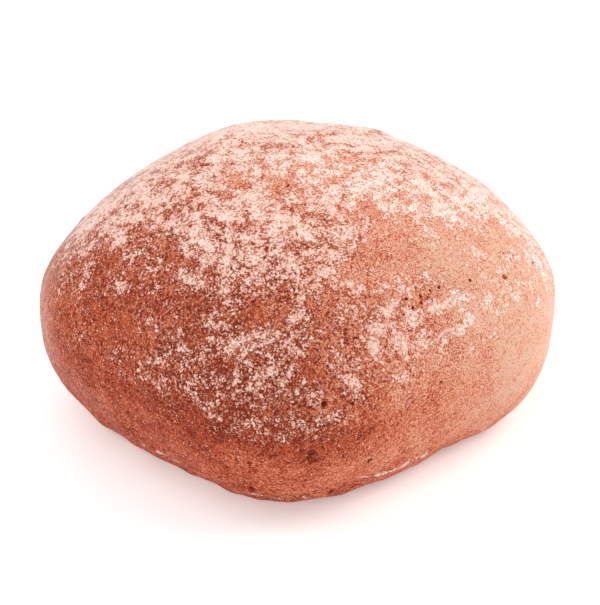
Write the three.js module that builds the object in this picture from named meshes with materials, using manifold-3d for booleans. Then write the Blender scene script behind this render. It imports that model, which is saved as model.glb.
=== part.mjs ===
// A rye bread roll: one solid loaf of crust and crumb that rests on its flat base.
// Millimetres, +Z up. The origin is the middle of the base, and a soft corner points along -Y.
// Each point of the crust lies some radius away from a core point in the middle of the belly.

import * as THREE from "three";
import { mergeVertices } from "three/addons/utils/BufferGeometryUtils.js";
import Module from "manifold-3d";

const wasm = await Module();
wasm.setup();

// Overall size
const BELLY_HALF_WIDTH = 52.5;
const BELLY_HALF_DEPTH = 50.5;
const BELLY_HEIGHT = 24.5; // the widest level, over the base
const DOME_HEIGHT = 32.5; // the crown, over the belly
const BASE_SHARE = 0.77; // width of the flat base, as a share of the belly

// Roundness: a power of 2 is an ellipse, less is more pointed and more is fuller
const DOME_POWER = 1.8;
const SKIRT_POWER = 2.2;
const CORNER_DEPTH = 0.056; // half the share by which the four sides fall in between the soft corners
const CORNERS = 4;

// Swells and hollows of the hand-shaped dough: degrees round the core, reach in degrees, height in mm
const SWELLS = [
  { azimuth: 253, elevation: -28, reach: 16, height: 0.5 },
  { azimuth: 242, elevation: -27, reach: 9, height: -0.9 },
  { azimuth: 222, elevation: -25, reach: 9, height: 0.5 },
  { azimuth: 346, elevation: -20, reach: 16, height: 1.9 },
  { azimuth: 200, elevation: -24, reach: 18, height: 0.4 },
  { azimuth: 85, elevation: 54, reach: 18, height: -0.9 },
  { azimuth: 118, elevation: 49, reach: 18, height: 0.5 },
  { azimuth: 62, elevation: 44, reach: 12, height: 0.5 },
  { azimuth: 150, elevation: 36, reach: 18, height: -1.2 },
  { azimuth: 172, elevation: 18, reach: 18, height: -2.4 },
];

// Low lumps all over the crust, as crossing waves
const LUMP_WAVES = 30;
const LUMP_HEIGHT = 0.045;
const LUMP_LENGTH_MIN = 16;
const LUMP_LENGTH_MAX = 34;
const LUMP_SEED = 3;

// Burst gas bubbles in the crust: across and upright sizes and depth in mm
const PITS = [
  { azimuth: 274, elevation: -8, across: 1.8, upright: 2.6, depth: 1.3 },
  { azimuth: 287.5, elevation: -14, across: 1.5, upright: 1.0, depth: 0.8 },
  { azimuth: 276, elevation: 5, across: 1.2, upright: 1.2, depth: 0.8 },
  { azimuth: 282.5, elevation: 4, across: 0.9, upright: 0.9, depth: 0.6 },
  { azimuth: 251, elevation: -4, across: 1.1, upright: 1.0, depth: 0.6 },
  { azimuth: 259, elevation: -22.5, across: 0.9, upright: 1.2, depth: 0.6 },
  { azimuth: 278.5, elevation: -25, across: 1.5, upright: 2.2, depth: 0.8 },
  { azimuth: 282, elevation: -25.5, across: 1.6, upright: 2.0, depth: 0.8 },
  { azimuth: 232, elevation: 16.5, across: 0.9, upright: 0.9, depth: 0.5 },
  { azimuth: 303, elevation: 24.5, across: 1.0, upright: 1.0, depth: 0.6 },
  { azimuth: 325, elevation: 23, across: 0.9, upright: 0.9, depth: 0.5 },
  { azimuth: 337, elevation: 17.5, across: 1.4, upright: 1.4, depth: 0.6 },
  { azimuth: 307.5, elevation: 1, across: 0.9, upright: 0.9, depth: 0.5 },
  { azimuth: 333.5, elevation: -13, across: 1.3, upright: 1.6, depth: 0.5 },
];

// The far side has pits of the same kind, spread evenly between these limits
const FAR_PIT_COUNT = 12;
const FAR_AZIMUTH = { from: 10, to: 215, step: 0.755 };
const FAR_ELEVATION = { from: -22, to: 40, step: 0.57 };
const FAR_ACROSS = { from: 0.8, to: 1.7, step: 0.618 };
const FAR_UPRIGHT = { from: 0.8, to: 1.7, step: 0.382 };
const FAR_DEPTH_SHARE = 0.6; // depth, as a share of the size across

// Short splits in the skin, from one place to another in degrees
const SPLITS = [
  { from: [64, 69.5], to: [54.5, 65], width: 1.0, depth: 0.8 },
  { from: [300, 21], to: [316, 24], width: 1.0, depth: 0.6 },
  { from: [181, 57], to: [186, 62], width: 0.8, depth: 0.5 },
];

// Fineness of the meshes, as rounds of splitting an icosahedron's edges
const CRUST_DETAIL = 20;
const PIT_DETAIL = 1;
const MERGE_TOLERANCE = 1e-4;

// The crust's colour and finish
const CRUST_COLOUR = 0xc47d5c;
const CRUST_ROUGHNESS = 0.85;

const CORE = new THREE.Vector3(0, 0, BELLY_HEIGHT);
const UP = new THREE.Vector3(0, 0, 1);

// The unit direction from the core at an azimuth and an elevation in degrees
function directionAt(azimuth, elevation) {
  const turn = THREE.MathUtils.degToRad(azimuth);
  const rise = THREE.MathUtils.degToRad(elevation);
  return new THREE.Vector3(
    Math.cos(rise) * Math.cos(turn),
    Math.cos(rise) * Math.sin(turn),
    Math.sin(rise),
  );
}

function randomBetween(low, high) {
  return THREE.MathUtils.lerp(low, high, THREE.MathUtils.seededRandom());
}

function makeLumpWaves() {
  THREE.MathUtils.seededRandom(LUMP_SEED);
  return Array.from({ length: LUMP_WAVES }, () => {
    const azimuth = randomBetween(0, 360);
    const elevation = THREE.MathUtils.radToDeg(Math.asin(randomBetween(-1, 1)));
    const length = randomBetween(LUMP_LENGTH_MIN, LUMP_LENGTH_MAX);
    const wave = directionAt(azimuth, elevation);
    wave.multiplyScalar((2 * Math.PI) / length);
    return { wave, phase: randomBetween(0, 2 * Math.PI) };
  });
}

const lumpWaves = makeLumpWaves();

// The radius of the dome above the belly and of the drawn-in skirt below it
function loafRadius(direction) {
  const turn = Math.atan2(direction.y, direction.x);
  const corner = 1 + CORNER_DEPTH * (1 - Math.max(direction.z, 0)) * (Math.cos(CORNERS * turn) - 1);
  const outward =
    Math.hypot(direction.x / BELLY_HALF_WIDTH, direction.y / BELLY_HALF_DEPTH) / corner;
  const above = direction.z >= 0;
  const power = above ? DOME_POWER : SKIRT_POWER;
  const skirtHeight = BELLY_HEIGHT / (1 - BASE_SHARE ** SKIRT_POWER) ** (1 / SKIRT_POWER);
  const upward = Math.abs(direction.z) / (above ? DOME_HEIGHT : skirtHeight);
  return (outward ** power + upward ** power) ** (-1 / power);
}

function swellHeight(direction) {
  let height = 0;
  for (const swell of SWELLS) {
    const away = direction.angleTo(directionAt(swell.azimuth, swell.elevation));
    const share = THREE.MathUtils.radToDeg(away) / swell.reach;
    height += swell.height * Math.exp(-share * share);
  }
  return height;
}

function lumpHeight(direction) {
  const place = direction.clone().multiplyScalar(BELLY_HALF_DEPTH);
  let height = 0;
  for (const { wave, phase } of lumpWaves) {
    height += LUMP_HEIGHT * Math.sin(wave.dot(place) + phase);
  }
  return height;
}

function crustPoint(direction) {
  const radius = loafRadius(direction) + swellHeight(direction) + lumpHeight(direction);
  return direction.clone().multiplyScalar(radius).add(CORE);
}

// A geometry's triangles with shared corners, as a solid that can be cut
function solidFrom(geometry) {
  geometry.deleteAttribute("normal");
  geometry.deleteAttribute("uv");
  const merged = mergeVertices(geometry, MERGE_TOLERANCE);
  return new wasm.Manifold(
    new wasm.Mesh({
      numProp: 3,
      vertProperties: merged.getAttribute("position").array,
      triVerts: new Uint32Array(merged.index.array),
    }),
  );
}

function geometryFrom(solid) {
  const mesh = solid.getMesh();
  const geometry = new THREE.BufferGeometry();
  geometry.setAttribute("position", new THREE.BufferAttribute(mesh.vertProperties, 3));
  geometry.setIndex(new THREE.BufferAttribute(mesh.triVerts, 1));
  geometry.computeVertexNormals();
  return geometry;
}

// The whole crust, rounded underneath too, before the base is cut flat
function makeLoaf() {
  const geometry = new THREE.IcosahedronGeometry(1, CRUST_DETAIL);
  const corners = geometry.getAttribute("position");
  const direction = new THREE.Vector3();
  for (let i = 0; i < corners.count; i += 1) {
    direction.fromBufferAttribute(corners, i).normalize();
    const point = crustPoint(direction);
    corners.setXYZ(i, point.x, point.y, point.z);
  }
  return solidFrom(geometry);
}

// The block under the base plane, which cuts the base flat
function makeFloorBlock() {
  const side = 3 * BELLY_HALF_WIDTH;
  const geometry = new THREE.BoxGeometry(side, side, BELLY_HEIGHT);
  geometry.translate(0, 0, -BELLY_HEIGHT / 2);
  return solidFrom(geometry);
}

// An ellipsoid sunk to half its thickness in the crust, with its length along a given direction
function makeGouge(place, lengthways, length, width, depth) {
  const outward = place.clone().sub(CORE).normalize();
  const along = lengthways.clone().projectOnPlane(outward).normalize();
  const across = new THREE.Vector3().crossVectors(outward, along);
  const geometry = new THREE.IcosahedronGeometry(1, PIT_DETAIL);
  geometry.scale(length / 2, width / 2, depth);
  geometry.applyMatrix4(new THREE.Matrix4().makeBasis(along, across, outward).setPosition(place));
  return solidFrom(geometry);
}

function makePit({ azimuth, elevation, across, upright, depth }) {
  const place = crustPoint(directionAt(azimuth, elevation));
  return makeGouge(place, UP, upright, across, depth);
}

// A value between two limits that moves on by a share of their span for each index, and wraps round
function spreadBetween({ from, to, step }, index) {
  return THREE.MathUtils.lerp(from, to, (index * step) % 1);
}

function farPit(index) {
  const across = spreadBetween(FAR_ACROSS, index);
  return {
    azimuth: spreadBetween(FAR_AZIMUTH, index),
    elevation: spreadBetween(FAR_ELEVATION, index),
    across,
    upright: spreadBetween(FAR_UPRIGHT, index),
    depth: FAR_DEPTH_SHARE * across,
  };
}

function makeSplit({ from, to, width, depth }) {
  const start = crustPoint(directionAt(...from));
  const end = crustPoint(directionAt(...to));
  const lengthways = end.clone().sub(start);
  const direction = start.clone().add(end).multiplyScalar(0.5).sub(CORE).normalize();
  return makeGouge(crustPoint(direction), lengthways, lengthways.length(), width, depth);
}

function makeRoll() {
  const farPits = Array.from({ length: FAR_PIT_COUNT }, (_, index) => farPit(index));
  const pits = [...PITS, ...farPits].map(makePit);
  const cuts = [makeFloorBlock(), ...pits, ...SPLITS.map(makeSplit)];
  const solid = cuts.reduce((loaf, cut) => loaf.subtract(cut), makeLoaf());
  const geometry = geometryFrom(solid);
  geometry.computeBoundingBox();
  const middle = geometry.boundingBox.getCenter(new THREE.Vector3());
  geometry.translate(-middle.x, -middle.y, -geometry.boundingBox.min.z);
  const material = new THREE.MeshStandardMaterial({
    color: CRUST_COLOUR,
    roughness: CRUST_ROUGHNESS,
    metalness: 0,
  });
  const roll = new THREE.Mesh(geometry, material);
  roll.name = "roll";
  return roll;
}

const bread = new THREE.Group();
bread.add(makeRoll());

export default bread;
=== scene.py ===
"""Looks of a flour-dusted rye bread roll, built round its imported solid. Metres, +Z up."""

import math

import bpy
import numpy as np
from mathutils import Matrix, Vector, noise
from mathutils.bvhtree import BVHTree


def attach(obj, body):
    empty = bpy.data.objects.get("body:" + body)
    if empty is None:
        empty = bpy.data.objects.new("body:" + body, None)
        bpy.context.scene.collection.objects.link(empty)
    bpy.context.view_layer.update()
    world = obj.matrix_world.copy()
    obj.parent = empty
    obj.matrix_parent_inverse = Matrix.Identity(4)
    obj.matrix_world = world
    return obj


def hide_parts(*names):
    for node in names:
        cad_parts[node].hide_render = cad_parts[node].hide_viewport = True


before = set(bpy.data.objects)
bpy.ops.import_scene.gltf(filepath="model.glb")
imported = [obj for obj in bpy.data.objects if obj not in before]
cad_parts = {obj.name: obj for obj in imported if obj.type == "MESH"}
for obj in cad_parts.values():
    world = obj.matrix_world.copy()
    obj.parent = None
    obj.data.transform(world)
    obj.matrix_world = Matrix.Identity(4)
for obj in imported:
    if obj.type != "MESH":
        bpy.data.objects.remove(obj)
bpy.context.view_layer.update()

MM = 0.001

# The photograph's frame, and the camera that took it
PHOTO_WIDTH = 600
PHOTO_HEIGHT = 605
VIEW_ELEVATION = math.radians(30)
CAMERA_DISTANCE = 600 * MM
AIM = Vector((0, 0, 25 * MM))
AIM_PIXEL_X = 297.0
AIM_PIXEL_Y = 291.4
PIXELS_PER_MM = 4.956
SENSOR_MM = 36
CLIP_START = 10 * MM

# The crust's mesh: a square sheet that folds round the roll like the faces of an octahedron
SHEET_SQUARES = 292
CORE = np.array((0, 0, 24.5 * MM))
PROFILE_STEPS = 181
PROFILE_TURNS = 24
BASE_ROW_HEIGHT = 0.5 * MM
BASE_ROWS_SHARE = 0.4
LEAST_SPAN = 1e-9  # keeps the sheet's middle and corners from a division by zero

# How the solid's pits and splits are filled and its facets smoothed, before the fine relief is added
HEAL_REACH = 1.7  # in pit radii
HEAL_SPLIT_WIDTH = 2.4  # in split widths
HEAL_ROUNDS = 150
SMOOTH_ROUNDS = 16

# Burst bubbles, about as in the solid: azimuth, elevation, sizes across and upright, depth in mm
PITS = [
    (273.4, -8.1, 2.5, 4.0, 0.9),
    (287.5, -14, 1.5, 1.5, 0.8),
    (276, 5, 1.4, 1.5, 0.65),
    (282.5, 4, 0.9, 0.9, 0.4),
    (251, -4, 1.2, 1.1, 0.4),
    (258.8, -22.0, 1.2, 2.2, 1.1),
    (278.9, -24.9, 1.8, 2.6, 1.4),
    (282, -24.8, 1.6, 2.6, 1.4),
    (232, 16.5, 0.8, 0.8, 0.35),
    (303.1, 24.4, 0.9, 0.8, 0.4),
    (325.9, 21.5, 0.75, 0.75, 0.5),
    (338, 16.8, 1.1, 1.4, 0.4),
    (307.7, 1.2, 0.9, 0.8, 0.35),
    (333.9, -13.8, 1.3, 1.6, 0.15),
]

# Deep pores in the split on the crown, listed in the same way
CROWN_PORES = [
    (58.8, 69.0, 0.6, 0.7, 0.7),
    (57, 68.6, 0.7, 0.8, 0.9),
    (57.6, 67.2, 0.6, 1.2, 0.9),
    (58.5, 65.6, 0.5, 1.2, 0.7),
]

# Pores too small for the solid: azimuth, elevation, sizes across and upright in mm
PORES = [
    (304.1, 21.8, 0.7, 0.7),
    (308.2, 23.8, 0.7, 0.9),
    (307.5, 22.2, 0.6, 0.9),
    (310.3, 22.9, 0.5, 0.5),
    (311.9, 24.2, 0.6, 0.6),
    (315.1, 23.9, 0.8, 0.7),
    (302.3, 20.4, 0.5, 0.5),
    (300.3, 20.9, 0.6, 0.5),
    (311.1, 25.7, 0.35, 0.3),
    (351.3, 13.3, 1.0, 0.7),
    (262, 68.2, 0.6, 1.0),
    (304.7, 1.5, 0.4, 0.7),
    (326, -8.9, 0.35, 0.35),
    (259.3, -11, 0.4, 0.6),
    (261.3, -11.3, 0.45, 0.4),
    (266, -13.8, 0.4, 0.4),
    (275.2, -15.2, 0.35, 0.4),
    (271.9, -16.6, 0.9, 0.7),
    (256.7, -17.1, 0.35, 0.4),
    (262.8, -18.5, 0.45, 0.4),
    (315.8, -8.6, 0.35, 0.3),
    (304.4, -7.2, 0.35, 0.3),
    (320.8, -21.2, 0.35, 0.3),
]
PORE_DEPTH_SHARE = 0.6

# Pits on the far side, by a rule: lowest and highest value, and the share of the span moved for each pit
FAR_PIT_COUNT = 12
FAR_AZIMUTH = (10, 215, 0.755)
FAR_ELEVATION = (-22, 40, 0.57)
FAR_ACROSS = (0.8, 1.7, 0.618)
FAR_UPRIGHT = (0.8, 1.7, 0.382)
FAR_DEPTH_SHARE = 0.6

# The form of a pit: its bowl, and the lip round it in pit radii
BOWL_POWER = 0.7
LIP_PLACE = 1.2
LIP_WIDTH = 0.25
LIP_SHARE = 0.12  # the lip's height as a share of the pit's depth
PIT_REACH = 3.2 * MM  # how far in or out from its middle a pit, split or fold still counts
FULL_SHADE_SHARE = 0.6  # pits and splits at least this deep for their size are darkest

# Splits in the skin, about as in the solid: azimuth and elevation of both ends, width and depth in mm
SPLITS = [
    (62, 67, 52, 66.5, 1.6, 0.15),
    (303, 21, 314, 24, 1.2, 0.25),
    (181, 57, 186, 62, 0.8, 0.6),
]

# How splits taper, wander and break off, with the sizes of their unevenness in mm
SPLIT_REACH = 3  # in split widths
SPLIT_LEAST_TAPER = 0.05
SPLIT_WANDER = 0.35 * MM
SPLIT_WANDER_SIZE = 2.0
SPLIT_DEPTH_MEAN = 0.8
SPLIT_DEPTH_CHANGE = 0.9
SPLIT_DEPTH_SIZE = 1.3

# The mesh is split finer twice, within these distances of pits and pores
FINE_MARGINS = (1.0 * MM, 0.45 * MM)

# Parts of a triangle with corners 0 1 2 and side middles 3 4 5, by which sides are split
TRIANGLE_PARTS = {
    (0, 0, 0): [(0, 1, 2)],
    (1, 0, 0): [(0, 3, 2), (3, 1, 2)],
    (0, 1, 0): [(1, 4, 0), (4, 2, 0)],
    (0, 0, 1): [(2, 5, 1), (5, 0, 1)],
    (1, 1, 1): [(0, 3, 5), (3, 1, 4), (5, 4, 2), (3, 4, 5)],
}

# Shallow dents, and bumps where the depth is negative: azimuth, elevation, radius and depth in mm
DENTS = [
    (308, 22.5, 6, 0.45),
    (337, 17.5, 4, 0.25),
    (279.7, 18.5, 5, 0.3),
    (216, 34, 9, 0.3),
    (300, -12, 8, 0.25),
    (82, 52, 9, 0.6),
    (50, 49, 5, -0.8),
    (206, -20, 8, 0.9),
    (287, -26, 4, 1.1),
    (275.5, -26, 3, -0.6),
    (321, -25.5, 5, 0.9),
]

# A fold of the skin on the crown: azimuth and elevation of both ends, height and widths in mm
FOLD_FROM = (64, 69.5)
FOLD_TO = (87, 85.5)
FOLD_HEIGHT = 0.6
FOLD_FRONT_WIDTH = 0.7
FOLD_BACK_WIDTH = 3.0
FOLD_END_SHARE = 0.3  # of its length, over which it runs out past each end

# Relief all over the crust: size and height of its unevenness in mm, and a seed
RELIEF = [
    (11.0, 0.16, 3),
    (4.2, 0.10, 17),
    (2.0, 0.07, 29),
    (1.1, 0.04, 41),
]

# More relief near the rim at the base, listed in the same way
RIM_HEIGHT = 9 * MM
RIM_UNEVENNESS = [(6.0, 0.6, 53), (2.6, 0.25, 59)]

# The flour cap's lower edge: azimuth and elevation in degrees
CAP_EDGE = [
    (0, 12), (40, 28), (70, 38), (100, 32), (130, 24), (160, 14), (180, 17), (200, 30), (215, 34),
    (240, 31), (270, 33), (290, 40), (310, 48), (330, 42), (350, 24),
]
CAP_EDGE_SOFTNESS = 9
CAP_COVER = 0.49

# Cover of flour without the cap, by elevation in degrees: below 0 on nearly bare crust
BARE_COVER = [(-90, -0.5), (-20, -0.8), (-8, -0.6), (8, -0.12), (30, -0.08), (90, 0)]

# Smudges of flour below the cap and bare patches in it: azimuth, elevation, half sizes in degrees, strength
FLOUR_SMUDGES = [
    (254, 12, 22, 10, 0.42),
    (300, 15, 26, 8, 0.30),
    (236, 8, 12, 8, 0.14),
    (262, -2, 22, 5, 0.30),
    (318, 32, 26, 11, 0.12),
    (340, 16, 12, 10, 0.20),
    (205, 27, 16, 6, 0.18),
    (186, 20, 12, 10, 0.25),
    (90, 65, 60, 20, 0.15),
    (241, 17, 4, 3, -0.35),
    (248, 20, 3, 2, 0.20),
    (266, 19, 6, 2, 0.30),
    (269, 23, 2, 2, 0.30),
    (265, 12, 6, 2, 0.22),
    (256, 17, 5, 2, 0.20),
    (262, 8, 2, 2, 0.10),
    (251, 11, 5, 3, -0.45),
    (246, 2, 7, 2, 0.12),
    (262, 4, 5, 2, -0.10),
    (274, 8, 2, 2, 0.15),
    (278, 2, 2, 2, 0.50),
    (279, 13, 2, 2, 0.40),
    (283, 9, 2, 2, 0.45),
    (294, 8, 4, 2, 0.45),
    (289, 16, 4, 3, 0.20),
    (297, 14, 4, 2, 0.05),
    (292, 19.5, 4, 2, 0.40),
    (307, 14, 4, 2, 0.40),
    (296, 23, 3, 2, 0.35),
    (305, 19.5, 5, 2, 0.42),
    (316, 20, 5, 2, 0.40),
    (320, 14, 3, 2, 0.40),
    (329, 15, 3, 3, 0.30),
    (347, 19, 4, 2, 0.20),
    (333, 23, 5, 2, 0.25),
    (237, 29, 5, 2, 0.65),
    (277, 23, 6, 3, -0.20),
    (274, 14, 3, 4, -0.40),
    (257, 24, 6, 2, -0.20),
    (207, 24, 5, 2, -0.25),
    (216, 35, 6, 3, -0.30),
    (12, 60, 3, 3, -0.50),
    (216, 64, 8, 3, -0.30),
    (255, 68, 14, 3, -0.30),
    (312, 53, 5, 4, -0.35),
    (356, 53, 6, 2, -0.35),
    (271, 44, 4, 2, -0.20),
    (290, 54, 9, 5, -0.20),
    (222, 32, 9, 4, -0.20),
    (216, 20, 9, 4, 0.12),
    (243, 6, 6, 3, -0.25),
    (278, 19, 4, 4, -0.20),
    (218, 14, 6, 5, -0.25),
    (309, 37, 13, 7, -0.15),
    (224, 10, 6, 3, -0.40),
    (249, -2, 5, 2, -0.35),
    (283, 16, 3, 2, -0.40),
    (291, 9, 4, 3, -0.15),
    (283, 48, 6, 3, -0.30),
    (314, 15, 3, 2, -0.20),
    (261, 36, 5, 3, 0.10),
    (255, 26, 5, 2, 0.20),
    (323, 64, 5, 3, 0.30),
    (13, 35, 8, 5, 0.25),
    (282, 34, 5, 3, 0.15),
    (274, 12, 5, 3, -0.25),
    (354, 9, 6, 8, 0.40),
    (265, 66, 30, 7, -0.20),
    (325, 74, 50, 9, -0.10),
    (328, 66, 12, 6, 0.10),
    (320, 81, 20, 5, -0.20),
    (300, 63, 8, 4, 0.15),
    (237, 60, 8, 4, 0.15),
    (274, 57, 12, 5, -0.15),
    (275, 78, 25, 6, -0.20),
    (355, 65, 8, 5, -0.20),
    (60, 72, 14, 7, -0.35),
    (0, 88, 360, 6, -0.14),
    (312, 17, 5, 5, -0.12),
    (300, 6, 5, 3, 0.35),
    (297, 0, 4, 3, 0.20),
    (332, 18, 5, 4, -0.20),
    (212, 20, 7, 2, 0.20),
    (217, 11, 9, 4, -0.20),
    (216, 27, 4, 3, -0.15),
    (262, -5, 10, 4, 0.08),
    (271, 24, 4, 2, 0.25),
    (239, 28, 9, 3, 0.05),
    (196, 19, 8, 5, 0.08),
    (203, 22, 8, 4, -0.18),
    (197, 42, 10, 8, 0.15),
    (214, 46, 6, 4, -0.35),
    (208, 53, 7, 5, -0.20),
    (318, 46, 6, 4, -0.20),
    (243, 46, 6, 4, -0.30),
    (191, 27, 9, 5, -0.20),
    (246, 36, 6, 3, 0.05),
    (284, 30, 13, 4, 0.33),
    (262, 24, 4, 2, -0.10),
    (268, 26, 5, 3, 0.15),
    (260, 19, 3, 2, 0.20),
    (233, 1, 4, 3, 0.25),
    (266, -1, 12, 3, 0.22),
    (270, -9, 22, 3, -0.28),
    (224.5, -21.8, 1.5, 1.2, 0.90),
    (229.5, -23.6, 2, 1.2, 0.90),
    (235, -25.2, 1.5, 1.2, 0.80),
    (242, -26.5, 2, 1.2, 0.60),
    (263, -25, 3, 1.5, 0.20),
    (296, -23.8, 14, 1.6, 1.30),
    (276, 4, 4, 3, 0.10),
    (268, -23, 3, 1.5, 0.50),
    (350, 23, 6, 5, -0.30),
    (312, 63, 10, 4, 0.20),
    (288, 39, 7, 4, 0.15),
    (199, 19, 9, 6, 0.12),
    (280, 24, 8, 5, 0.07),
    (254, 27, 9, 3, 0.07),
    (264, 12, 10, 6, -0.06),
    (342, 74, 20, 6, -0.05),
    (221, 15, 12, 5, -0.08),
]

# Smudges on the far side, by the same kind of rule as its pits
FAR_SMUDGES = 9
FAR_SMUDGE_AZIMUTH = (10, 175, 0.755)
FAR_SMUDGE_ELEVATION = (2, 24, 0.57)
FAR_SMUDGE_SIZE = (9, 6)
FAR_SMUDGE_STRENGTH = 0.45

# Unevenness of the flour: size in mm, strength and seed
FLOUR_PATCHES = [(7.0, 0.20, 61), (3.6, 0.32, 67), (1.7, 0.36, 73)]
FLOUR_LOSS = 2.5  # how much less flour there is inside pits

# Flour along the rim, which comes and goes over a size in mm
RIM_FLOUR = 1.1
RIM_FLOUR_ELEVATION = -26
RIM_FLOUR_HALF = 2.5
RIM_FLOUR_MEAN = 0.3
RIM_FLOUR_CHANGE = 1.3
RIM_FLOUR_SIZE = 4.0
RIM_FLOUR_SEED = 71

# Browning of the crust, from pale 0 to dark 1, partly painted light and shade, paler where the light is
# strongest on the right and the crown, darker on the left and low on the front: azimuth, elevation, half
# sizes in degrees, strength
BROWNING_LEVEL = 0.56
BROWNING_AND_PAINTED_LIGHT = [
    (330, 12, 42, 45, -0.50),
    (240, 22, 30, 10, 0.10),
    (258, 8, 20, 8, 0.20),
    (264, -3, 26, 5, 0.18),
    (238, -1, 20, 6, 0.10),
    (245, -12, 45, 14, 0.06),
    (270, -19, 30, 5, -0.06),
    (205, 5, 24, 20, 0.06),
    (270, 78, 180, 28, -0.34),
    (5, 5, 25, 30, -0.26),
    (331, -15, 10, 8, -0.06),
    (310, 19, 8, 7, 0.14),
    (315, -2, 12, 9, 0.12),
    (333, -5, 8, 8, -0.06),
    (198, 40, 14, 10, -0.10),
    (257, -17, 6, 4, 0.06),
    (274, -17, 5, 4, -0.06),
    (276, 5, 4, 3, -0.20),
    (283, 17, 3, 3, 0.12),
    (290, 16, 3, 3, -0.04),
    (250, 22, 8, 4, 0.06),
    (285, -16, 14, 6, -0.05),
    (322, 32, 12, 8, -0.08),
    (222, 8, 8, 5, 0.05),
    (200, 22, 12, 10, -0.02),
    (193, 12, 8, 12, -0.07),
    (276, -1, 4, 3, 0.10),
    (274, -14, 12, 6, -0.03),
    (57, 68, 14, 6, -0.20),
    (285, 14, 9, 7, -0.12),
    (287, 33, 12, 8, -0.12),
    (120, 20, 50, 14, 0.05),
    (60, 5, 30, 20, -0.15),
    (343, 19, 9, 8, 0.03),
    (297, 14, 9, 6, 0.04),
]
BASE_BROWNING = 0.62  # on the underside
BASE_BROWNING_HEIGHT = 1.5 * MM

# Colours as linear light, the crust's by how browned it is; its darkest tones also serve as painted shade
# in pits, splits and gaps in the flour
CRUST_TONES = [
    (0.0, (0.725, 0.465, 0.345, 1)),
    (0.3, (0.68, 0.225, 0.12, 1)),
    (0.6, (0.445, 0.075, 0.034, 1)),
    (1.0, (0.13, 0.012, 0.006, 1)),
]
CRUST_TIPS = (0.80, 0.44, 0.32, 1)
HAZE = (0.62, 0.19, 0.115, 1)
EDGE_BLOOM = (0.95, 0.82, 0.78, 1)
FLOUR_BLOOM = (1, 0.92, 0.88, 1)
FLOUR_BRIGHT = (0.88, 0.82, 0.77, 1)
FLOUR_WHITE = (0.89, 0.73, 0.65, 1)
FLOUR_SHADE = (0.93, 0.59, 0.49, 1)
LONE_FLOUR = (0.88, 0.47, 0.35, 1)
WHITE = (1, 1, 1, 1)

# Noises in the materials: size in mm, detail and roughness
MOTTLE_NOISE = (5.0, 3, 0.5)
CLUMP_NOISE = (1.8, 4, 0.68)
GRIT_NOISE = (0.9, 2, 0.6)
GRAIN_TONE_NOISE = (0.7, 2, 0.5)
LACE_NOISE = (0.45, 1, 0.5)
SHAKE_NOISE = (0.4, 2, 0.5)
FINE_NOISE = (0.3, 1, 0.6)
NOISE_MIDDLE = 0.5  # the value that a noise lies round

# Cells in the crust's material and how far their edges are shaken, in mm
HUSK_CELL = 1.4
LARGE_CELL = 0.54
SMALL_CELL = 0.28
SHAKE = 0.7

# How much the noises and draws change what they are added to
MOTTLE_CHANGE = 0.5
GRIT_CHANGE = 0.35
CLUMP_CHANGE = 1.7
GAP_SHADE_CHANGE = 0.35
PILE_CHANGE = 0.5
PALE_CHANGE = 0.35
GRANULE_ROUNDING = -0.5
GRIT_BUMP = 0.6

# Parts of the flour that lie as large and small granules, and the highest browning, which only the painted
# shade in pits and splits goes past
LARGE_SHARE = 0.9
SMALL_SHARE = 0.55
DARKEST_SKIN = 0.93

# Soft steps in the materials: where each begins and ends, then its values there unless they are 0 and 1
COARSE_BY_FLOUR = (-0.55, -0.05, 0.75, 1.0)
DARK_BY_BROWNING = (0.15, 0.5, 0.25, 1.0)
FINE_BY_BROWNING = (0.1, 0.5, 2.3, 1.8)
SPOT_BY_DRAW = (0.68, 0.8, 0.0, 0.35)
SPECK_BY_DISTANCE = (0.16, 0.11)
SPECK_BY_DRAW = (0.3, 0.8, 0.0, 0.5)
SHARE_BY_CLUMPS = (-0.2, 1.1)
GAP_SHADE_BEGINS = (0.02, 0.2)
GAP_SHADE_ENDS = (0.5, 0.25)
PIT_SHADE_BY_DEPTH = (0.02, 0.9)
TIP_BY_DRAW = (0.84, 0.9)
TIP_BY_FLOUR = (-0.5, 0.1, 0.03, 0.7)
GRANULE_EDGE = (0.0, 0.07)
HAZE_EDGE = (-0.35, 0.0)
LACE_EDGE = (0.12, 0.07, 0.15, 1.0)
HAZE_BY_CLUMPS = (-0.1, 0.5, 0.0, 0.9)
HAZE_BY_BROWNING = (0.2, 0.5, 0.2, 1.0)
THICK_BY_SHARE = (0.04, 0.3)
PALE_BY_BROWNING = (0.31, 0.13)
WHITE_BY_PILE = (0.15, 0.65)
ROUGHNESS_BY_FLOUR = (0.0, 1.0, 0.6, 0.95)
BLOOM_BY_FACING = (0.4, 0.8, 0.0, 0.9)
BLOOM_BY_HEIGHT = (6 * MM, 24 * MM)
BLOOM_BY_FLOUR = (0.0, 1.0, 0.6, 1.0)
GRAIN_BY_TONE = (0.3, 0.7)

# Gloss and bumps
CRUST_SPECULAR = 0.03
SHEEN_ROUGHNESS = 0.4
BUMP_STRENGTH = 0.4
BUMP_HEIGHT = 0.14 * MM
FLOUR_ROUGHNESS = 0.95
FLOUR_SPECULAR = 0.2
FLOOR_ROUGHNESS = 0.9

# Loose flour: grains lying on the crust
GRAIN_COUNT = 23000
GRAIN_SIDES = 5
GRAIN_SIZE = 0.22 * MM
GRAIN_SPREAD = 0.45
GRAIN_LARGEST = 0.6 * MM
GRAIN_FLATNESS = 0.2
GRAIN_SUNK = 0.25
GRAIN_NARROWNESS = (0.5, 1)
GRAIN_UNEVENNESS = (0.55, 1.1)
GRAIN_STRAY = 0.1
GRAIN_SEED = 7

# Floor, light and air
FLOOR_SIZE = 3.0
FLOOR_COLOUR = (0.93, 0.93, 0.93, 1)
FLOOR_GLOW = 0.3
WORLD_STRENGTH = 0.4

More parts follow.
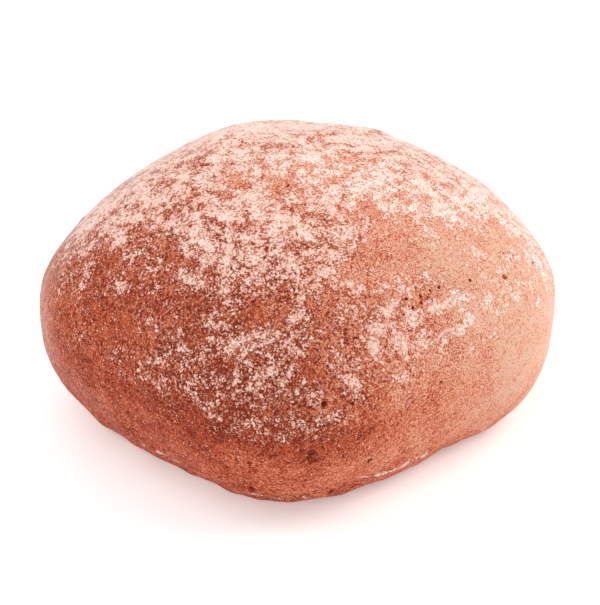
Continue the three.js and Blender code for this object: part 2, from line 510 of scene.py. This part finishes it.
# Soft boxes: name, place and size in metres, power in watts, colour
WHITE_LIGHT = (1, 1, 1)
LIGHTS = [
    ("key", (0.6, 0.1, 0.6), 0.5, 3.5, (1, 0.96, 0.92)),
    ("side", (0.69, 0.34, 0.23), 0.4, 1.9, WHITE_LIGHT),
    ("left", (-0.6, 0.08, 0.54), 0.4, 1.4, WHITE_LIGHT),
    ("top", (-0.35, 0.3, 0.85), 0.7, 2.85, WHITE_LIGHT),
    ("fill", (-0.45, -0.75, 0.5), 0.7, 2.0, WHITE_LIGHT),
]


def direction_at(azimuth, elevation):
    """The unit direction from the core at an azimuth and an elevation in degrees."""
    turn = math.radians(azimuth)
    rise = math.radians(elevation)
    return np.array((math.cos(rise) * math.cos(turn), math.cos(rise) * math.sin(turn), math.sin(rise)))


def spread_between(limits, index):
    """A value between two limits that moves on by a share of their span for each index, and wraps round."""
    low, high, step = limits
    return low + (high - low) * ((index * step) % 1)


def far_pit(index):
    """A pit of the far side, listed like those in PITS."""
    across = spread_between(FAR_ACROSS, index)
    return (
        spread_between(FAR_AZIMUTH, index),
        spread_between(FAR_ELEVATION, index),
        across,
        spread_between(FAR_UPRIGHT, index),
        FAR_DEPTH_SHARE * across,
    )


def pore(place):
    """A pore with its depth, listed like the pits."""
    azimuth, elevation, across, upright = place
    return (azimuth, elevation, across, upright, PORE_DEPTH_SHARE * min(across, upright))


def all_pits():
    far_pits = [far_pit(index) for index in range(FAR_PIT_COUNT)]
    return PITS + CROWN_PORES + far_pits + [pore(place) for place in PORES]


def noise_at(points, size, seed):
    """Smooth unevenness of a size in mm at each point, from about -1 to 1."""
    places = points / (size * MM) + seed
    return np.array([noise.noise(Vector(place)) for place in places])


def unit(vectors):
    return vectors / np.linalg.norm(vectors, axis=-1, keepdims=True)


def cast_radii(tree, directions):
    """How far the solid's surface is from the core in each direction."""
    core = Vector(CORE)
    return np.array([tree.ray_cast(core, Vector(direction))[3] for direction in directions])


def row_elevations(tree):
    """Elevations in degrees from the crown to the middle of the base, and the sheet's share above each."""
    elevations = np.linspace(90, -90, PROFILE_STEPS)
    turns = np.linspace(0, 360, PROFILE_TURNS, endpoint=False)
    radii = [cast_radii(tree, [direction_at(t, e) for t in turns]).mean() for e in elevations]
    ring = radii * np.cos(np.radians(elevations))
    height = radii * np.sin(np.radians(elevations))
    area = np.hypot(np.diff(ring), np.diff(height)) * (ring[1:] + ring[:-1])
    on_base = height[1:] < -CORE[2] + BASE_ROW_HEIGHT
    area = np.where(on_base, BASE_ROWS_SHARE * area, area)
    share = np.concatenate(([0], np.cumsum(area))) / area.sum()
    return elevations, share


def make_sheet(tree):
    """The folded sheet: directions of its welded points, its triangles, and their corners' places on it."""
    line = np.linspace(-1, 1, SHEET_SQUARES + 1)
    across, along = [side.ravel() for side in np.meshgrid(line, line, indexing="ij")]
    reach = np.abs(across) + np.abs(along)
    outer = reach > 1
    across_side = np.where(across >= 0, 1, -1)
    along_side = np.where(along >= 0, 1, -1)
    fold_across = np.where(outer, (1 - np.abs(along)) * across_side, across)
    fold_along = np.where(outer, (1 - np.abs(across)) * along_side, along)
    span = np.maximum(np.abs(fold_across) + np.abs(fold_along), LEAST_SPAN)
    turn = np.abs(fold_along) / span * math.pi / 2
    above = np.where(outer, 1 - (2 - reach) ** 2 / 2, reach**2 / 2)
    elevations, share = row_elevations(tree)
    rise = np.radians(np.interp(above, share, elevations))
    directions = np.stack(
        (
            np.cos(rise) * np.cos(turn) * across_side,
            np.cos(rise) * np.sin(turn) * along_side,
            np.sin(rise),
        ),
        axis=1,
    )

    # Points on the sheet's edge meet their mirror image on the same edge
    row, column = np.divmod(np.arange(len(across)), SHEET_SQUARES + 1)
    welded_column = np.where(row % SHEET_SQUARES == 0, np.minimum(column, SHEET_SQUARES - column), column)
    welded_row = np.where(column % SHEET_SQUARES == 0, np.minimum(row, SHEET_SQUARES - row), row)
    welded = welded_row * (SHEET_SQUARES + 1) + welded_column
    used, point_of = np.unique(welded, return_inverse=True)

    # Each square is split along the rings that run round the crown
    squares = np.arange(SHEET_SQUARES)
    low_row, low_column = [side.ravel() for side in np.meshgrid(squares, squares, indexing="ij")]
    first = low_row * (SHEET_SQUARES + 1) + low_column
    second = first + SHEET_SQUARES + 1
    third = second + 1
    fourth = first + 1
    middle = SHEET_SQUARES / 2
    same_side = (low_row + 0.5 - middle) * (low_column + 0.5 - middle) > 0
    split_one = np.stack((first, second, np.where(same_side, fourth, third)), axis=1)
    split_two = np.stack((np.where(same_side, second, first), third, fourth), axis=1)
    corners = np.concatenate((split_one, split_two))
    places = np.stack((across, along), axis=1) / 2 + 0.5
    return directions[used], point_of[corners], places[corners]


def near_pits(tree, points, margin):
    """Which points lie in a pit or a pore, or within a margin of one."""
    near = np.zeros(len(points), bool)
    for pit in all_pits():
        _, _, across, upright, _ = pit
        reach = 1 + 2 * margin / (min(across, upright) * MM)
        near |= pit_distance(tree, points, pit) < reach
    return near


def split_edges(points, triangles, places, near):
    """Splits each edge that has both its ends near a pit, and the triangles on its two sides."""
    edges = edges_of(triangles)
    edges = edges[near[edges].all(axis=1)]
    edge_keys = edges[:, 0] * len(points) + edges[:, 1]
    ends = np.stack((triangles, np.roll(triangles, -1, axis=1)), axis=2)
    side_keys = ends.min(axis=2) * len(points) + ends.max(axis=2)
    found = np.minimum(np.searchsorted(edge_keys, side_keys), len(edge_keys) - 1)
    split = edge_keys[found] == side_keys
    corners = np.concatenate((triangles, len(points) + found), axis=1)
    middle_places = (places + np.roll(places, -1, axis=1)) / 2
    corner_places = np.concatenate((places, middle_places), axis=1)
    new_triangles = []
    new_places = []
    for sides, parts in TRIANGLE_PARTS.items():
        chosen = (split == sides).all(axis=1)
        for part in parts:
            new_triangles.append(corners[chosen][:, part])
            new_places.append(corner_places[chosen][:, part])
    new_points = np.concatenate((points, points[edges].mean(axis=1)))
    return new_points, np.concatenate(new_triangles), np.concatenate(new_places)


def edges_of(triangles):
    pairs = np.concatenate((triangles[:, :2], triangles[:, 1:], triangles[:, [2, 0]]))
    return np.unique(np.sort(pairs, axis=1), axis=0)


def neighbour_mean(values, edges):
    count = np.bincount(edges.ravel(), minlength=len(values))
    total = np.bincount(edges[:, 0], values[edges[:, 1]], len(values))
    total += np.bincount(edges[:, 1], values[edges[:, 0]], len(values))
    return total / count


def face_vectors(points, triangles):
    """For each triangle a vector that points outward and is twice as long as the triangle's area."""
    first, second, third = [points[triangles[:, i]] for i in range(3)]
    return np.cross(second - first, third - first)


def vertex_normals(points, triangles):
    faces = face_vectors(points, triangles)
    normals = np.zeros_like(points)
    for i in range(3):
        for axis in range(3):
            normals[:, axis] += np.bincount(triangles[:, i], faces[:, axis], len(points))
    return unit(normals)


def surface_point(tree, azimuth, elevation):
    direction = direction_at(azimuth, elevation)
    return CORE + direction * cast_radii(tree, [direction])[0]


def pit_distance(tree, points, pit):
    """Distance from a pit's middle, with its rim at 1."""
    azimuth, elevation, across, upright, _ = pit
    outward = direction_at(azimuth, elevation)
    up = unit(np.array((0, 0, 1)) - outward * outward[2])
    side = np.cross(up, outward)
    away = points - surface_point(tree, azimuth, elevation)
    flat = np.hypot(away @ side / (across * MM / 2), away @ up / (upright * MM / 2))
    depth = away @ outward
    return np.where(np.abs(depth) < PIT_REACH, flat, np.inf)


def line_side(start, end):
    """The direction across a line on the crust."""
    return unit(np.cross(end - start, (start + end) / 2 - CORE))


def line_places(points, start, end):
    """Share of the way along a line, the offset to its side, and which points are near the crust there."""
    along = end - start
    share = (points - start) @ along / (along @ along)
    away = points - start - np.outer(share, along)
    offset = away @ line_side(start, end)
    lift = away @ unit((start + end) / 2 - CORE)
    return share, offset, np.abs(lift) < PIT_REACH


def split_shape(tree, points, split):
    """How deep a split is at each point, from 0 to 1."""
    from_azimuth, from_elevation, to_azimuth, to_elevation, width, _ = split
    start = surface_point(tree, from_azimuth, from_elevation)
    end = surface_point(tree, to_azimuth, to_elevation)
    share, offset, near = line_places(points, start, end)
    taper = np.sqrt(np.clip(1 - (2 * share - 1) ** 2, 0, 1))
    close = near & (taper > 0) & (np.abs(offset) < SPLIT_REACH * width * MM)
    wander = SPLIT_WANDER * noise_at(points[close], SPLIT_WANDER_SIZE, from_azimuth)
    half = np.maximum(taper[close], SPLIT_LEAST_TAPER) * width * MM / 2
    breaks = noise_at(points[close], SPLIT_DEPTH_SIZE, to_azimuth)
    whole = np.clip(SPLIT_DEPTH_MEAN + SPLIT_DEPTH_CHANGE * breaks, 0, 1)
    shape = np.zeros(len(points))
    shape[close] = np.clip(1 - ((offset[close] + wander) / half) ** 2, 0, 1) * taper[close] * whole
    return shape


def healed_radii(tree, directions, edges):
    """The solid's radius in each direction, without its facets and with its pits and splits filled."""
    radii = cast_radii(tree, directions)
    points = CORE + directions * radii[:, None]
    cut = np.zeros(len(points), bool)
    for pit in all_pits():
        cut |= pit_distance(tree, points, pit) < HEAL_REACH
    for split in SPLITS:
        *ends, width, depth = split
        cut |= split_shape(tree, points, (*ends, width * HEAL_SPLIT_WIDTH, depth)) > 0
    for _ in range(HEAL_ROUNDS):
        radii[cut] = neighbour_mean(radii, edges)[cut]
    for _ in range(SMOOTH_ROUNDS):
        radii = (radii + neighbour_mean(radii, edges)) / 2
    return radii


def fold_height(tree, points):
    """A fold of the skin that is steep towards the front and runs out towards the back."""
    start = surface_point(tree, *FOLD_FROM)
    end = surface_point(tree, *FOLD_TO)
    share, offset, near = line_places(points, start, end)
    ahead = offset if line_side(start, end)[1] < 0 else -offset
    width = np.where(ahead > 0, FOLD_FRONT_WIDTH, FOLD_BACK_WIDTH) * MM
    inward = np.minimum(share + FOLD_END_SHARE, 1 + FOLD_END_SHARE - share)
    ends = np.clip(inward / FOLD_END_SHARE, 0, 1)
    return near * FOLD_HEIGHT * MM * np.exp(-((ahead / width) ** 2)) * ends


def relief_heights(tree, points):
    """The height of the fine relief at each point, and how far inside a pit or split it is, from 0 to 1,
    which sets the painted shade there.
    """
    height = np.zeros(len(points))
    for size, tall, seed in RELIEF:
        height += tall * MM * noise_at(points, size, seed)
    rim = np.clip(1 - points[:, 2] / RIM_HEIGHT, 0, 1)
    for size, tall, seed in RIM_UNEVENNESS:
        height += rim * tall * MM * noise_at(points, size, seed)
    for azimuth, elevation, radius, depth in DENTS:
        away = np.linalg.norm(points - surface_point(tree, azimuth, elevation), axis=1)
        height -= depth * MM * np.exp(-((away / (radius * MM)) ** 2))
    height += fold_height(tree, points)
    inside = np.zeros(len(points))
    for pit in all_pits():
        _, _, across, upright, depth = pit
        distance = pit_distance(tree, points, pit)
        bowl = np.clip(1 - distance**2, 0, 1) ** BOWL_POWER
        lip = np.exp(-(((distance - LIP_PLACE) / LIP_WIDTH) ** 2))
        height += depth * MM * (LIP_SHARE * lip - bowl)
        inside = np.maximum(inside, bowl * depth / min(across, upright) / FULL_SHADE_SHARE)
    for split in SPLITS:
        *_, width, depth = split
        shape = split_shape(tree, points, split)
        height -= depth * MM * shape
        inside = np.maximum(inside, shape * depth / width / FULL_SHADE_SHARE)
    return height, np.minimum(inside, 1)


def smudge(azimuth, elevation, centre):
    """A soft oval patch, listed as azimuth, elevation, half sizes in degrees and strength."""
    centre_azimuth, centre_elevation, half_azimuth, half_elevation, strength = centre
    turn = (azimuth - centre_azimuth + 180) % 360 - 180
    rise = elevation - centre_elevation
    return strength * np.exp(-((turn / half_azimuth) ** 2) - (rise / half_elevation) ** 2)


def far_smudge(index):
    """A smudge on the far side, listed like those in FLOUR_SMUDGES."""
    return (
        spread_between(FAR_SMUDGE_AZIMUTH, index),
        spread_between(FAR_SMUDGE_ELEVATION, index),
        *FAR_SMUDGE_SIZE,
        FAR_SMUDGE_STRENGTH,
    )


def flour_cover(points, azimuth, elevation):
    """How much flour lies at each point: 0 and less for nearly bare crust, 1 for hidden crust."""
    edge_azimuth, edge_elevation = zip(*CAP_EDGE)
    edge = np.interp(azimuth, edge_azimuth, edge_elevation, period=360)
    rise = np.clip((elevation - edge) / CAP_EDGE_SOFTNESS / 2 + 0.5, 0, 1)
    bare_elevation, bare_cover = zip(*BARE_COVER)
    cover = CAP_COVER * rise * rise * (3 - 2 * rise) + np.interp(elevation, bare_elevation, bare_cover)
    for centre in FLOUR_SMUDGES + [far_smudge(index) for index in range(FAR_SMUDGES)]:
        cover += smudge(azimuth, elevation, centre)
    for size, change, seed in FLOUR_PATCHES:
        cover += change * noise_at(points, size, seed)
    rim = np.exp(-(((elevation - RIM_FLOUR_ELEVATION) / RIM_FLOUR_HALF) ** 2))
    patches = noise_at(points, RIM_FLOUR_SIZE, RIM_FLOUR_SEED)
    cover += RIM_FLOUR * rim * (RIM_FLOUR_MEAN + RIM_FLOUR_CHANGE * patches)
    return cover


def browning(points, azimuth, elevation):
    """How browned the crust is at each point, from pale 0 to dark 1, paler on the right and the crown and
    darker on the left partly as painted light and shade.
    """
    level = np.full(len(points), BROWNING_LEVEL)
    for centre in BROWNING_AND_PAINTED_LIGHT:
        level += smudge(azimuth, elevation, centre)
    under = np.clip(1 - points[:, 2] / BASE_BROWNING_HEIGHT, 0, 1)
    level += under * (BASE_BROWNING - level)
    return np.clip(level, 0, 1)


def add_mesh(name, points, triangles, smooth=False):
    mesh = bpy.data.meshes.new(name)
    mesh.from_pydata(points.tolist(), [], triangles.tolist())
    mesh.polygons.foreach_set("use_smooth", np.full(len(triangles), smooth))
    piece = bpy.data.objects.new(name, mesh)
    bpy.context.scene.collection.objects.link(piece)
    return piece


def paint(mesh, name, values):
    """Stores a value for each point, for the material to read."""
    layer = mesh.attributes.new(name, "FLOAT", "POINT")
    layer.data.foreach_set("value", values.astype(np.float32))


def make_crust():
    """The roll's whole surface, and what the loose flour needs to know of it."""
    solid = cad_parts["roll"].data
    tree = BVHTree.FromPolygons(
        [corner.co for corner in solid.vertices],
        [face.vertices for face in solid.polygons],
    )
    directions, triangles, places = make_sheet(tree)
    points = CORE + directions * healed_radii(tree, directions, edges_of(triangles))[:, None]
    for margin in FINE_MARGINS:
        near = near_pits(tree, points, margin)
        points, triangles, places = split_edges(points, triangles, places, near)
    directions = unit(points - CORE)
    height, inside = relief_heights(tree, points)
    relieved = points + vertex_normals(points, triangles) * height[:, None]
    relieved[:, 2] = np.maximum(relieved[:, 2], 0)
    azimuth = np.degrees(np.arctan2(directions[:, 1], directions[:, 0]))
    elevation = np.degrees(np.arcsin(directions[:, 2]))
    flour = flour_cover(points, azimuth, elevation) - FLOUR_LOSS * inside
    crust = add_mesh("crust", relieved, triangles, smooth=True)
    sheet = crust.data.uv_layers.new(name="OFBake")
    sheet.data.foreach_set("uv", places.astype(np.float32).ravel())
    paint(crust.data, "flour", flour)
    # Browning, whose paler right side and crown and darker left are partly painted light and shade
    paint(crust.data, "browning", browning(points, azimuth, elevation))
    # How far inside a pit or split each point is, which sets the painted shade there
    paint(crust.data, "inside", inside)
    return crust, relieved, triangles, flour


def grain_places(random, points, triangles, flour):
    """Places of the grains on the crust, and the direction straight out from it at each."""
    outward = face_vectors(points, triangles)
    area = np.linalg.norm(outward, axis=1)
    weight = area * np.clip(flour[triangles].mean(axis=1) + GRAIN_STRAY, 0, 1) ** 2
    chosen = random.choice(len(triangles), GRAIN_COUNT, p=weight / weight.sum())
    share = np.sort(random.random((GRAIN_COUNT, 2)), axis=1)
    shares = np.stack((share[:, 0], share[:, 1] - share[:, 0], 1 - share[:, 1]), axis=1)
    places = sum(shares[:, i, None] * points[triangles[chosen, i]] for i in range(3))
    return places, outward[chosen] / area[chosen, None]


def grain_form():
    """Corners and triangles of one grain: a low cone with few sides."""
    turns = np.arange(GRAIN_SIDES) * 2 * math.pi / GRAIN_SIDES
    outline = np.stack((np.cos(turns), np.sin(turns), np.full(GRAIN_SIDES, -GRAIN_SUNK)), axis=1)
    corners = np.concatenate((outline, [(0, 0, 1 - GRAIN_SUNK)]))
    slopes = [(i, (i + 1) % GRAIN_SIDES, GRAIN_SIDES) for i in range(GRAIN_SIDES)]
    floor = [(0, i + 1, i) for i in range(1, GRAIN_SIDES - 1)]
    return corners, np.array(slopes + floor)


def make_loose_flour(points, triangles, flour):
    """Grains of flour lying on the crust, thickest where the flour is."""
    random = np.random.default_rng(GRAIN_SEED)
    corners, faces = grain_form()
    places, up = grain_places(random, points, triangles, flour)
    side = unit(np.cross(up, random.normal(size=(GRAIN_COUNT, 3))))
    forward = np.cross(up, side) * random.uniform(*GRAIN_NARROWNESS, (GRAIN_COUNT, 1))
    size = np.minimum(GRAIN_SIZE * np.exp(GRAIN_SPREAD * random.normal(size=GRAIN_COUNT)), GRAIN_LARGEST)
    uneven = random.uniform(*GRAIN_UNEVENNESS, (GRAIN_COUNT, len(corners), 1))
    shape = corners * uneven * size[:, None, None]
    lift = shape[:, :, 2] * GRAIN_FLATNESS
    grains = places[:, None] + shape[:, :, :1] * side[:, None] + shape[:, :, 1:2] * forward[:, None]
    grains += lift[:, :, None] * up[:, None]
    grains[:, :, 2] = np.maximum(grains[:, :, 2], 0)
    numbers = faces[None] + len(corners) * np.arange(GRAIN_COUNT)[:, None, None]
    return add_mesh("loose_flour", grains.reshape(-1, 3), numbers.reshape(-1, 3))


def add_node(tree, kind, inputs=None, **settings):
    """A shader node with its settings, each input set to a value or linked to another node's output."""
    made = tree.nodes.new(kind)
    for name, value in settings.items():
        setattr(made, name, value)
    for name, value in (inputs or {}).items():
        if isinstance(value, bpy.types.NodeSocket):
            tree.links.new(value, made.inputs[name])
        else:
            made.inputs[name].default_value = value
    return made


def new_material(name):
    material = bpy.data.materials.new(name)
    material.use_nodes = True
    tree = material.node_tree
    return material, tree, tree.nodes["Principled BSDF"]


def noise_node(tree, coords, size, detail, roughness, output="Fac"):
    """A noise of a size in mm."""
    settings = {"Vector": coords, "Scale": 1 / (size * MM), "Detail": detail, "Roughness": roughness}
    return add_node(tree, "ShaderNodeTexNoise", settings).outputs[output]


def math_node(tree, operation, first, second):
    return add_node(tree, "ShaderNodeMath", {0: first, 1: second}, operation=operation).outputs[0]


def times(tree, first, second):
    return math_node(tree, "MULTIPLY", first, second)


def plus_share(tree, base, wave, share):
    """The base with a share of a wave that lies round 0.5 added."""
    spread = add_node(tree, "ShaderNodeMath", {0: wave, 1: share, 2: -share / 2}, operation="MULTIPLY_ADD")
    return math_node(tree, "ADD", base, spread.outputs[0])


def step_node(tree, value, low, high, to_low=0.0, to_high=1.0):
    """A soft step from one value to another, while an input goes from low to high."""
    inputs = {"Value": value, "From Min": low, "From Max": high, "To Min": to_low, "To Max": to_high}
    return add_node(tree, "ShaderNodeMapRange", inputs, interpolation_type="SMOOTHSTEP").outputs["Result"]


def mix_colours(tree, share, first, second):
    inputs = {0: share, 6: first, 7: second}
    return add_node(tree, "ShaderNodeMix", inputs, data_type="RGBA").outputs[2]


def ramp_node(tree, value, stops):
    ramp = add_node(tree, "ShaderNodeValToRGB", {"Fac": value})
    elements = ramp.color_ramp.elements
    while len(elements) < len(stops):
        elements.new(0.5)
    for element, (position, colour) in zip(elements, stops):
        element.position = position
        element.color = colour
    return ramp.outputs["Color"]


def read_paint(tree, name):
    return add_node(tree, "ShaderNodeAttribute", attribute_name=name).outputs["Fac"]


def cell_node(tree, coords, size):
    """Cells of a size in mm: three random draws for each of them, and the distance from its middle."""
    cells = add_node(tree, "ShaderNodeTexVoronoi", {"Vector": coords, "Scale": 1 / (size * MM)}).outputs
    draws = add_node(tree, "ShaderNodeSeparateColor", {"Color": cells["Color"]}).outputs
    return draws, cells["Distance"]


def ragged_coords(tree, coords):
    """Coordinates shaken a little, so that what is drawn in them has ragged edges."""
    shaken = noise_node(tree, coords, *SHAKE_NOISE, output="Color")
    middles = {0: shaken, 1: (NOISE_MIDDLE,) * 3}
    apart = add_node(tree, "ShaderNodeVectorMath", middles, operation="SUBTRACT").outputs[0]
    shift = {0: apart, "Scale": SHAKE * MM}
    moved = add_node(tree, "ShaderNodeVectorMath", shift, operation="SCALE").outputs[0]
    return add_node(tree, "ShaderNodeVectorMath", {0: coords, 1: moved}, operation="ADD").outputs[0]


def granules_in(tree, share, part, draw, distance):
    """Granules that lie in part of a share of the cells, and the haze round them."""
    chance = math_node(tree, "SUBTRACT", times(tree, share, part), draw)
    chance = plus_share(tree, chance, distance, GRANULE_ROUNDING)
    return step_node(tree, chance, *GRANULE_EDGE), step_node(tree, chance, *HAZE_EDGE)


def skin_level(tree, coords, ragged, share, grit, spot_draw):
    """How browned the skin is: mottled, and darker in spots and specks of bran, with painted shade in the
    gaps between the flour's granules.
    """
    brown = read_paint(tree, "browning")
    coarse = step_node(tree, read_paint(tree, "flour"), *COARSE_BY_FLOUR)
    dark = step_node(tree, brown, *DARK_BY_BROWNING)
    level = plus_share(tree, brown, noise_node(tree, coords, *MOTTLE_NOISE), MOTTLE_CHANGE)
    level = plus_share(tree, level, grit, GRIT_CHANGE)
    fine = math_node(tree, "SUBTRACT", noise_node(tree, coords, *FINE_NOISE), NOISE_MIDDLE)
    fine = times(tree, times(tree, fine, coarse), step_node(tree, brown, *FINE_BY_BROWNING))
    spots = times(tree, times(tree, step_node(tree, spot_draw, *SPOT_BY_DRAW), coarse), dark)
    husk_draws, husk_distance = cell_node(tree, ragged, HUSK_CELL)
    specks = step_node(tree, husk_distance, *SPECK_BY_DISTANCE)
    specks = times(tree, specks, step_node(tree, husk_draws["Red"], *SPECK_BY_DRAW))
    # Painted shade in the gaps round patches of flour, strongest at their thin edges
    gap_shade = times(tree, step_node(tree, share, *GAP_SHADE_BEGINS), step_node(tree, share, *GAP_SHADE_ENDS))
    gap_shade = times(tree, times(tree, gap_shade, dark), GAP_SHADE_CHANGE)
    for part in (fine, spots, specks, gap_shade):
        level = math_node(tree, "ADD", level, part)
    return math_node(tree, "MINIMUM", level, DARKEST_SKIN)


def flour_colour(tree, share, thick, pile_draw):
    """The colour of the flour: whiter where it is piled up, and on pale skin."""
    pale = step_node(tree, read_paint(tree, "browning"), *PALE_BY_BROWNING)
    piled = plus_share(tree, plus_share(tree, share, pile_draw, PILE_CHANGE), pale, PALE_CHANGE)
    white = mix_colours(tree, pale, FLOUR_WHITE, FLOUR_BRIGHT)
    white = mix_colours(tree, step_node(tree, piled, *WHITE_BY_PILE), FLOUR_SHADE, white)
    return mix_colours(tree, thick, LONE_FLOUR, white)


def bloom_weight(tree, coords, lying):
    """How much sheen there is: more towards the edges and on flour, and none low down."""
    facing = add_node(tree, "ShaderNodeLayerWeight").outputs["Facing"]
    height = add_node(tree, "ShaderNodeSeparateXYZ", {"Vector": coords}).outputs["Z"]
    bloom = step_node(tree, facing, *BLOOM_BY_FACING)
    bloom = times(tree, bloom, step_node(tree, height, *BLOOM_BY_HEIGHT))
    return times(tree, bloom, step_node(tree, lying, *BLOOM_BY_FLOUR))


def crust_material():
    """Browned skin with granules of flour lying on it, and painted shade in pits, splits and the gaps
    between granules.
    """
    material, tree, shader = new_material("crust")
    coords = add_node(tree, "ShaderNodeTexCoord").outputs["Object"]
    ragged = ragged_coords(tree, coords)
    flour = read_paint(tree, "flour")
    grit = noise_node(tree, coords, *GRIT_NOISE)
    large_draws, large_distance = cell_node(tree, ragged, LARGE_CELL)
    small_draws, small_distance = cell_node(tree, ragged, SMALL_CELL)
    clumps = plus_share(tree, flour, noise_node(tree, coords, *CLUMP_NOISE), CLUMP_CHANGE)
    share = step_node(tree, clumps, *SHARE_BY_CLUMPS)
    thick = step_node(tree, share, *THICK_BY_SHARE)

    # Skin with painted shade, darkest in pits and splits, and pale tips
    level = skin_level(tree, coords, ragged, share, grit, large_draws["Blue"])
    level = step_node(tree, read_paint(tree, "inside"), *PIT_SHADE_BY_DEPTH, level, 1.0)
    tips = step_node(tree, small_draws["Red"], *TIP_BY_DRAW)
    tips = times(tree, tips, step_node(tree, flour, *TIP_BY_FLOUR))
    skin = mix_colours(tree, tips, ramp_node(tree, level, CRUST_TONES), CRUST_TIPS)

    # Granules of two sizes, the large ones broken by a winding lace, with a warm haze round them
    large, large_haze = granules_in(tree, share, LARGE_SHARE, large_draws["Green"], large_distance)
    small, small_haze = granules_in(tree, share, SMALL_SHARE, small_draws["Green"], small_distance)
    winding = math_node(tree, "SUBTRACT", noise_node(tree, ragged, *LACE_NOISE), NOISE_MIDDLE)
    lace = step_node(tree, math_node(tree, "ABSOLUTE", winding, 0.0), *LACE_EDGE)
    lying = math_node(tree, "MAXIMUM", times(tree, large, lace), small)
    haze = math_node(tree, "MAXIMUM", large_haze, small_haze)
    haze = times(tree, haze, step_node(tree, clumps, *HAZE_BY_CLUMPS))
    haze = times(tree, haze, step_node(tree, read_paint(tree, "browning"), *HAZE_BY_BROWNING))
    skin = mix_colours(tree, haze, skin, HAZE)
    white = flour_colour(tree, share, thick, large_draws["Red"])
    tree.links.new(mix_colours(tree, lying, skin, white), shader.inputs["Base Color"])

    # Gloss, bloom and bumps
    tree.links.new(step_node(tree, lying, *ROUGHNESS_BY_FLOUR), shader.inputs["Roughness"])
    shader.inputs["Specular IOR Level"].default_value = CRUST_SPECULAR
    tree.links.new(bloom_weight(tree, coords, lying), shader.inputs["Sheen Weight"])
    shader.inputs["Sheen Roughness"].default_value = SHEEN_ROUGHNESS
    tree.links.new(mix_colours(tree, lying, EDGE_BLOOM, FLOUR_BLOOM), shader.inputs["Sheen Tint"])
    bumps = plus_share(tree, times(tree, lying, thick), grit, GRIT_BUMP)
    settings = {"Height": bumps, "Strength": BUMP_STRENGTH, "Distance": BUMP_HEIGHT}
    bump = add_node(tree, "ShaderNodeBump", settings)
    tree.links.new(bump.outputs["Normal"], shader.inputs["Normal"])
    return material


def flour_material():
    """Dull flour in two tones."""
    material, tree, shader = new_material("flour")
    coords = add_node(tree, "ShaderNodeTexCoord").outputs["Object"]
    tone = step_node(tree, noise_node(tree, coords, *GRAIN_TONE_NOISE), *GRAIN_BY_TONE)
    tree.links.new(mix_colours(tree, tone, FLOUR_SHADE, FLOUR_WHITE), shader.inputs["Base Color"])
    shader.inputs["Roughness"].default_value = FLOUR_ROUGHNESS
    shader.inputs["Specular IOR Level"].default_value = FLOUR_SPECULAR
    return material


def add_floor():
    half = FLOOR_SIZE / 2
    corners = np.array([(-half, -half, 0), (half, -half, 0), (half, half, 0), (-half, half, 0)])
    floor = add_mesh("floor", corners, np.array([(0, 1, 2), (0, 2, 3)]))
    material, _, shader = new_material("floor")
    shader.inputs["Base Color"].default_value = FLOOR_COLOUR
    shader.inputs["Roughness"].default_value = FLOOR_ROUGHNESS
    shader.inputs["Emission Color"].default_value = WHITE
    shader.inputs["Emission Strength"].default_value = FLOOR_GLOW
    floor.data.materials.append(material)


def add_light(name, place, size, power, colour):
    """A square soft box that faces the roll."""
    lamp = bpy.data.lights.new(name, "AREA")
    lamp.size = size
    lamp.energy = power
    lamp.color = colour
    light = bpy.data.objects.new(name, lamp)
    light.location = place
    light.rotation_euler = (AIM - light.location).to_track_quat("-Z", "Y").to_euler()
    bpy.context.scene.collection.objects.link(light)


def add_world():
    world = bpy.data.worlds.new("studio")
    world.use_nodes = True
    background = world.node_tree.nodes["Background"]
    background.inputs["Color"].default_value = WHITE
    background.inputs["Strength"].default_value = WORLD_STRENGTH
    bpy.context.scene.world = world


def add_camera():
    """The photograph's camera, moved sideways in its own plane so that the aim falls on its pixel."""
    lens = bpy.data.cameras.new("camera")
    lens.sensor_width = SENSOR_MM
    lens.lens = PIXELS_PER_MM * CAMERA_DISTANCE / MM * SENSOR_MM / max(PHOTO_WIDTH, PHOTO_HEIGHT)
    lens.clip_start = CLIP_START
    camera = bpy.data.objects.new("camera", lens)
    camera.rotation_euler = (math.pi / 2 - VIEW_ELEVATION, 0, 0)
    back = Vector((0, -math.cos(VIEW_ELEVATION), math.sin(VIEW_ELEVATION)))
    up = Vector((0, math.sin(VIEW_ELEVATION), math.cos(VIEW_ELEVATION)))
    right = Vector((1, 0, 0))
    move_right = (PHOTO_WIDTH / 2 - AIM_PIXEL_X) / PIXELS_PER_MM * MM
    move_up = (AIM_PIXEL_Y - PHOTO_HEIGHT / 2) / PIXELS_PER_MM * MM
    camera.location = AIM + back * CAMERA_DISTANCE + right * move_right + up * move_up
    bpy.context.scene.collection.objects.link(camera)
    bpy.context.scene.camera = camera


crust, crust_points, crust_triangles, crust_flour = make_crust()
crust.data.materials.append(crust_material())
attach(crust, "root")
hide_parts("roll")

loose_flour = make_loose_flour(crust_points, crust_triangles, crust_flour)
loose_flour.data.materials.append(flour_material())
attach(loose_flour, "root")

add_floor()
add_world()
for soft_box in LIGHTS:
    add_light(*soft_box)
add_camera()
bpy.context.scene.view_settings.view_transform = "Standard"
